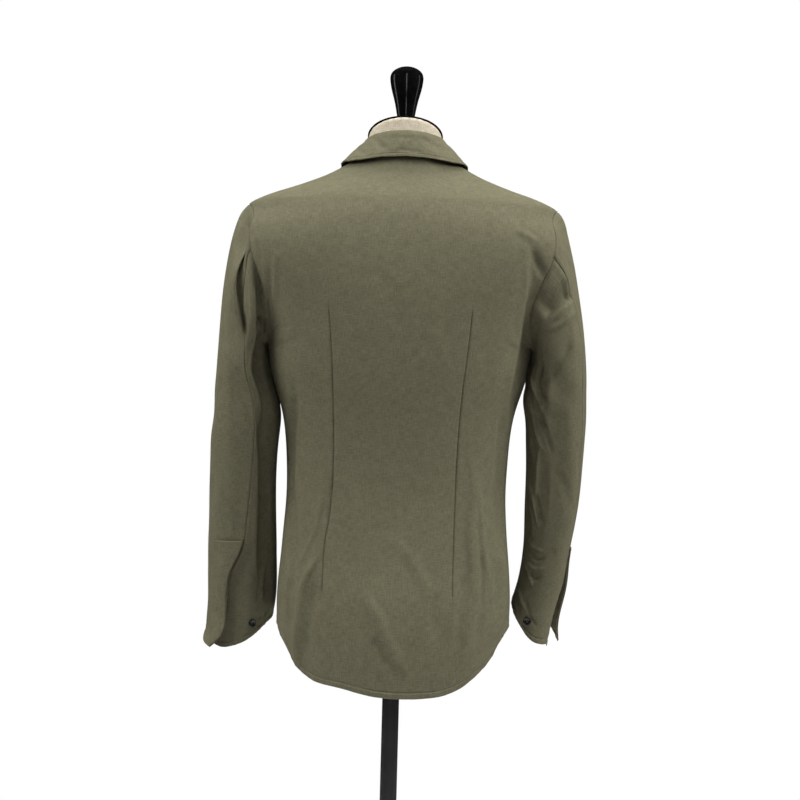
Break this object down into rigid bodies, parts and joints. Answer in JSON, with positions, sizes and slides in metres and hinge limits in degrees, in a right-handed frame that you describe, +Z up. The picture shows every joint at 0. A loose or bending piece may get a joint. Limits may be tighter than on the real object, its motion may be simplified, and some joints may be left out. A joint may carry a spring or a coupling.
{
  "type": "coverall jacket on dress form",
  "caption": "Collared cloth jacket with two-piece sleeves, open cuff vents and a curved hem, worn on a limbless dress form with a neck finial, a pole and a round base.",
  "frame": {"origin": "middle of the round base's underside, on the floor", "axes": "+X towards the wearer's left, -Y towards the jacket's front, +Z up"},
  "size_m": [0.5016, 0.36, 1.563],
  "materials": {
    "olive_linen_cotton": "plain weave with slubs, matt, soft sheen",
    "cream_linen": "plain linen weave, matt",
    "black_lacquered_wood": "glossy black lacquer",
    "black_painted_steel": "satin black paint",
    "black_horn_button": "polished, horn-like"
  },
  "bodies": {
    "root": {"back": "olive_linen_cotton", "front_left": "olive_linen_cotton", "front_right": "olive_linen_cotton", "top_sleeve_left": "olive_linen_cotton", "top_sleeve_right": "olive_linen_cotton", "under_sleeve_left": "olive_linen_cotton", "under_sleeve_right": "olive_linen_cotton", "sleeve_placket_left": "olive_linen_cotton", "sleeve_placket_right": "olive_linen_cotton", "collar": "olive_linen_cotton", "cuff_button_left": "black_horn_button", "cuff_button_right": "black_horn_button", "front_button_1": "black_horn_button", "front_button_2": "black_horn_button", "front_button_3": "black_horn_button", "front_button_4": "black_horn_button", "front_button_5": "black_horn_button", "form_torso": "cream_linen", "form_neck_cap": "black_lacquered_wood", "form_finial": "black_lacquered_wood", "form_pole": "black_painted_steel", "form_base": "black_painted_steel"}
  },
  "joints": []
}
